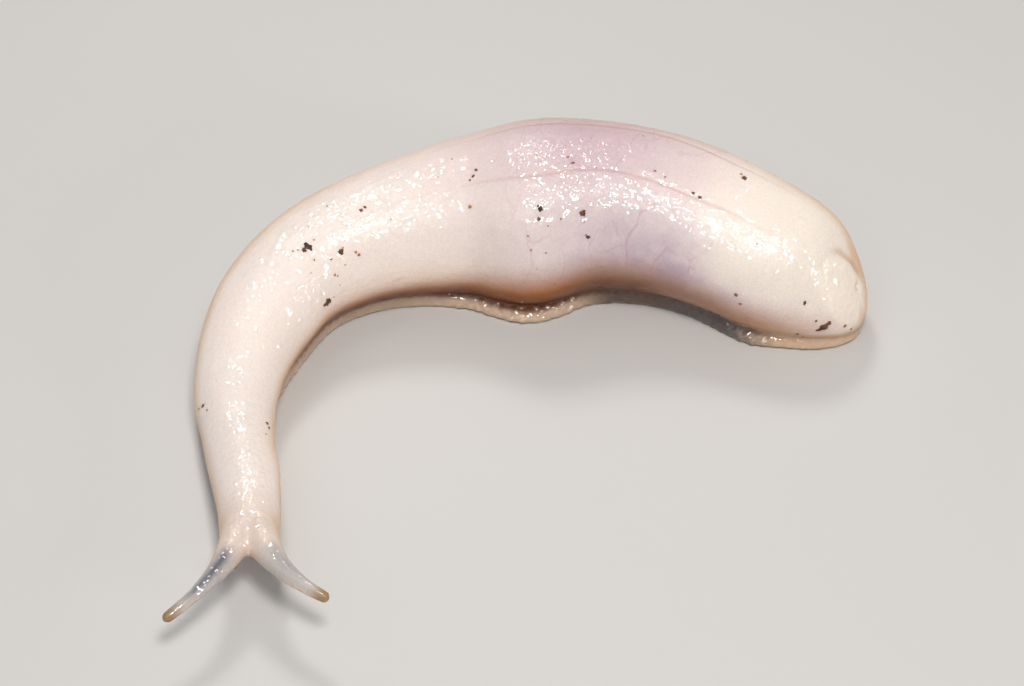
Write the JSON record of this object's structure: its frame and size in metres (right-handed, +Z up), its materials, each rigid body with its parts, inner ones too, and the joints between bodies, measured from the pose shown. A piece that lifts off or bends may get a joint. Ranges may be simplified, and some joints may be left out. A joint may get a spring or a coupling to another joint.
{
  "type": "ghost slug",
  "caption": "Life-size white ghost slug lying on its sole with its neck bent round to its left, tentacles spread, a fringed foot and a small mantle disc at the tail.",
  "frame": {"origin": "on the floor, under the middle of the box", "axes": "+X towards the tail, -Y the way the head points, +Z up from the sole"},
  "size_m": [0.042, 0.0368, 0.0107],
  "materials": {
    "skin": "wet, waxy, creamy white",
    "back": "wet, waxy, lilac white",
    "foot": "wet, translucent grey",
    "tentacle": "wet, translucent grey white"
  },
  "bodies": {
    "root": {"head": "skin", "neck": "skin", "shoulder": "skin", "back_front": "skin", "back_middle": "back", "back_rear": "back", "rump": "skin", "mantle": "skin", "foot_head": "foot", "foot_neck": "foot", "foot_front": "foot", "foot_middle": "foot", "foot_rear": "foot", "foot_tail": "foot", "tentacle_upper_left": "tentacle", "tentacle_upper_right": "tentacle", "tentacle_lower_left": "tentacle", "tentacle_lower_right": "tentacle"}
  },
  "joints": []
}
